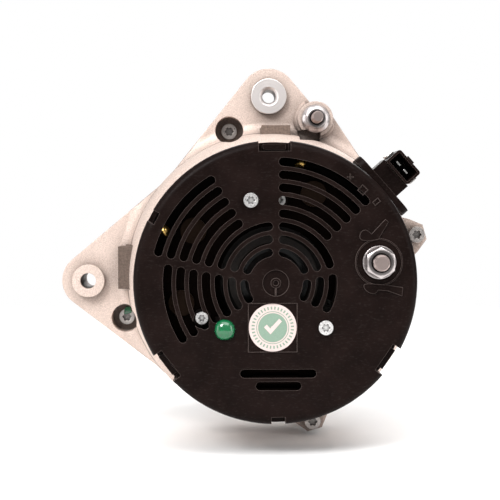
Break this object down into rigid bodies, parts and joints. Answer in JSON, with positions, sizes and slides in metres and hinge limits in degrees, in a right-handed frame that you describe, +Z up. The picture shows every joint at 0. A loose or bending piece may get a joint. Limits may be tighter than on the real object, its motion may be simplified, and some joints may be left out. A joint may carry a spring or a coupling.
{
  "type": "car alternator",
  "caption": "Belt-driven car alternator with a claw-pole rotor, ribbed pulley, two mounting ears, slotted rear cover and side plug.",
  "frame": {"origin": "on the shaft axis, in the middle of the belt track of the pulley", "axes": "+Y along the shaft out of the pulley nose, +X to the right and +Z up as seen from the rear cover"},
  "size_m": [0.1945, 0.1739, 0.1937],
  "materials": {
    "cast_aluminium": "sand-cast, fine grain",
    "steel_laminations": "varnished sheet steel",
    "rotor_steel": "forged, lightly oiled",
    "ground_steel": "ground",
    "bearing_steel": "polished",
    "pressed_steel": "stamped",
    "copper_wire": "enamelled copper",
    "slip_ring_copper": "turned copper",
    "black_plastic": "glass-filled nylon",
    "dark_plastic": "moulded resin",
    "insulation": "slot liner",
    "zinc": "bright zinc plate",
    "bush_steel": "zinc-plated, turned",
    "pulley_steel": "black phosphate",
    "rectifier_aluminium": "plain sheet",
    "diode_metal": "nickel plate",
    "carbon": "copper-graphite",
    "spring_steel": "drawn wire",
    "pin_metal": "tin plate",
    "seal_rubber": "moulded",
    "label_paper": "printed sticker"
  },
  "bodies": {
    "housing": {"front_bracket": "cast_aluminium", "rear_bracket": "cast_aluminium", "stator_core": "steel_laminations", "slot_insulation": "insulation", "winding_phase_u": "copper_wire", "winding_phase_v": "copper_wire", "winding_phase_w": "copper_wire", "through_bolts": "zinc", "rear_cover": "black_plastic", "cover_screws": "zinc", "front_bearing_outer_race": "bearing_steel", "bearing_seals": "seal_rubber", "bearing_retainer": "pressed_steel", "retainer_screws": "zinc", "rear_bearing_outer_race": "bearing_steel", "rear_bearing_sleeve": "dark_plastic", "rectifier_negative_plate": "rectifier_aluminium", "rectifier_positive_plate": "rectifier_aluminium", "rectifier_diodes": "diode_metal", "terminal_board": "dark_plastic", "rectifier_insulators": "dark_plastic", "rectifier_screws": "zinc", "voltage_regulator": "dark_plastic", "regulator_heat_sink": "rectifier_aluminium", "regulator_screws": "zinc", "brush_holder": "dark_plastic", "brush_spring_a": "spring_steel", "brush_spring_b": "spring_steel", "b_plus_stud": "zinc", "b_plus_insulator": "dark_plastic", "b_plus_washer": "zinc", "b_plus_nut": "zinc", "ground_stud": "zinc", "ground_nut": "zinc", "connector_housing": "black_plastic", "connector_pins": "pin_metal", "connector_clip": "spring_steel", "inspection_label": "label_paper"},
    "rotor": {"rotor_shaft": "ground_steel", "claw_pole_front": "rotor_steel", "claw_pole_rear": "rotor_steel", "coil_bobbin": "dark_plastic", "field_coil": "copper_wire", "front_fan": "pressed_steel", "rear_fan": "pressed_steel", "slip_ring_hub": "dark_plastic", "slip_rings": "slip_ring_copper", "front_bearing_inner_race": "bearing_steel", "rear_bearing_inner_race": "bearing_steel", "pulley_spacer": "zinc", "pulley": "pulley_steel", "pulley_washer": "zinc", "pulley_nut": "zinc"},
    "front_ball_set": {"front_bearing_balls": "bearing_steel", "front_bearing_cage": "pressed_steel"},
    "rear_ball_set": {"rear_bearing_balls": "bearing_steel", "rear_bearing_cage": "pressed_steel"},
    "brush_a": {"brush_a": "carbon"},
    "brush_b": {"brush_b": "carbon"},
    "mounting_bush": {"mounting_bush": "bush_steel"}
  },
  "joints": [
    {"name": "rotor_spin", "type": "hinge", "parent": "housing", "child": "rotor", "pos_m": [0, 0, 0], "axis": [0, 1, 0], "continuous": true},
    {"name": "front_cage_spin", "type": "hinge", "parent": "housing", "child": "front_ball_set", "pos_m": [0, -0.024, 0], "axis": [0, 1, 0], "continuous": true},
    {"name": "rear_cage_spin", "type": "hinge", "parent": "housing", "child": "rear_ball_set", "pos_m": [0, -0.107, 0], "axis": [0, 1, 0], "continuous": true},
    {"name": "brush_a_slide", "type": "slide", "parent": "housing", "child": "brush_a", "axis": [0, 0, -1], "range_m": [0, 0.006], "deforming": ["brush_spring_a"]},
    {"name": "brush_b_slide", "type": "slide", "parent": "housing", "child": "brush_b", "axis": [0, 0, -1], "range_m": [0, 0.006], "deforming": ["brush_spring_b"]},
    {"name": "bush_slide", "type": "slide", "parent": "housing", "child": "mounting_bush", "axis": [0, 1, 0], "range_m": [0, 0.002]}
  ],
  "couplings": [
    {"joint": "front_cage_spin", "follows": "rotor_spin", "ratio": 0.3688},
    {"joint": "rear_cage_spin", "follows": "rotor_spin", "ratio": 0.4085}
  ]
}
